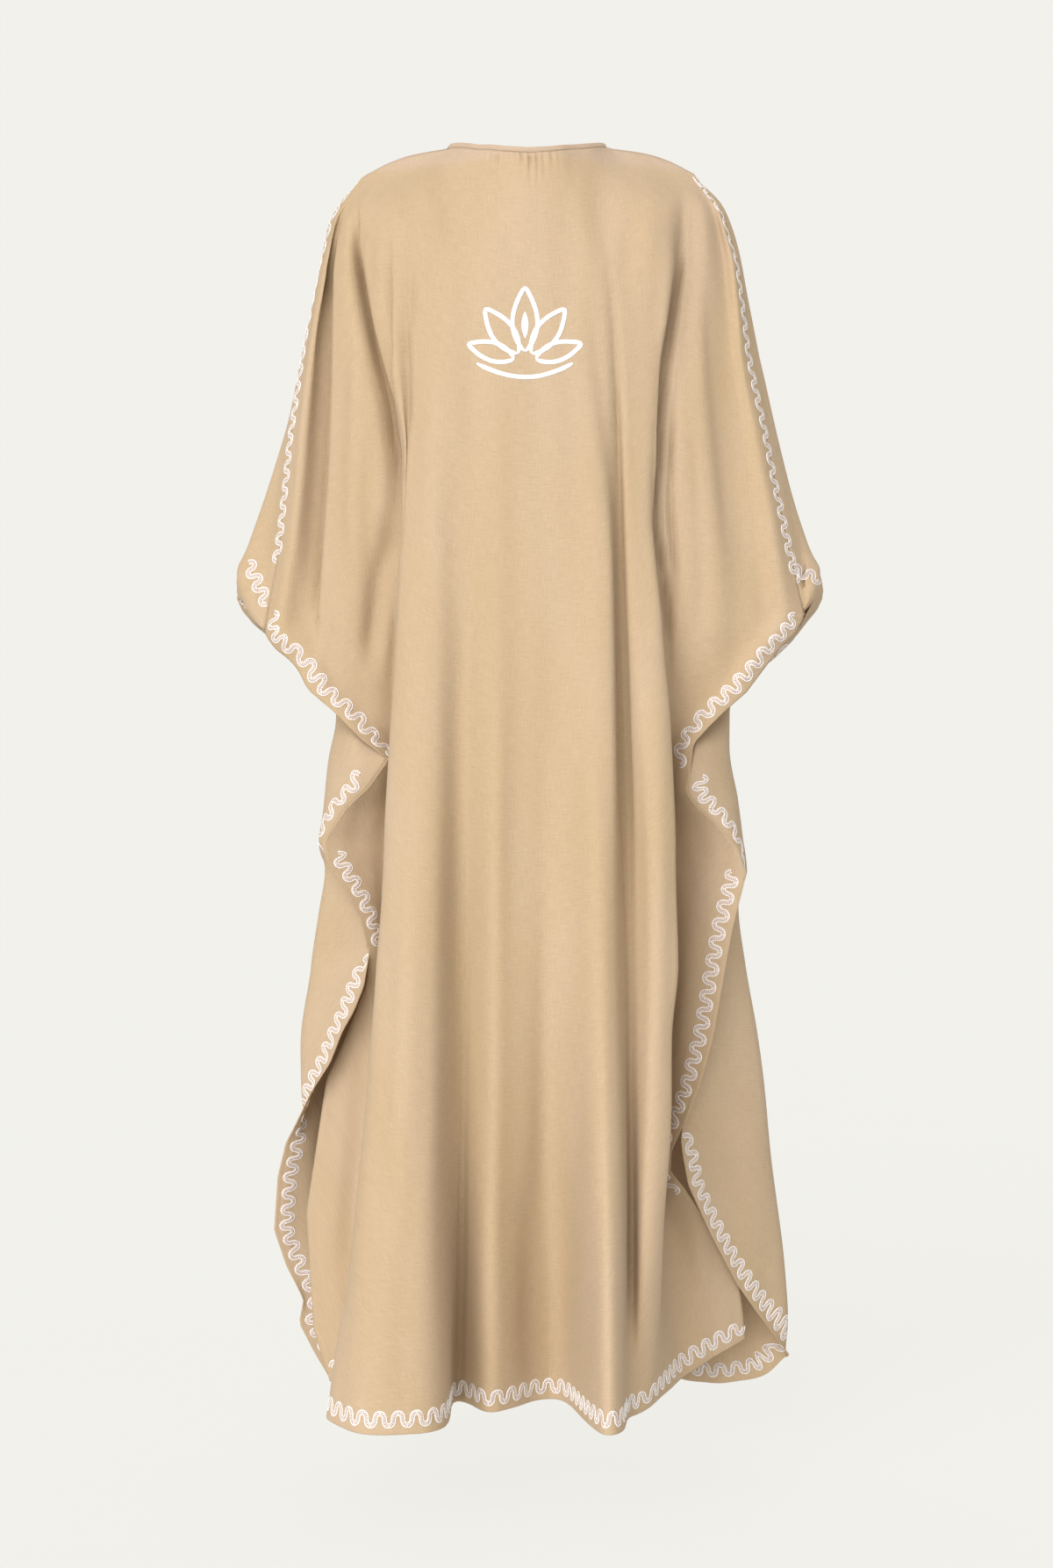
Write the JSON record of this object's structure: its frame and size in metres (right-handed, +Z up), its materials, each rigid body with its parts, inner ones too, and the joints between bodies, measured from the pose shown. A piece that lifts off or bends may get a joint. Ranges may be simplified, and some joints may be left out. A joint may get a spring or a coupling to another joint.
{
  "type": "kaftan",
  "caption": "Long hollow kaftan as worn: sleeves in one with the body, cascading side seams, side slits and a banded neck.",
  "frame": {"origin": "midway between the neck's side points, at the height where the shoulders hold the garment", "axes": "+Z up, +Y the way the wearer faces, so the back of the garment faces -Y, and +X to the wearer's right"},
  "size_m": [0.6398, 0.3897, 1.3783],
  "materials": {
    "slub_cloth": "soft woven slub cloth",
    "band_cloth": "soft woven slub cloth",
    "white_thread": "soft white embroidery thread"
  },
  "bodies": {
    "root": {"back_panel": "slub_cloth", "front_panel": "slub_cloth", "neck_band": "band_cloth"}
  },
  "joints": []
}
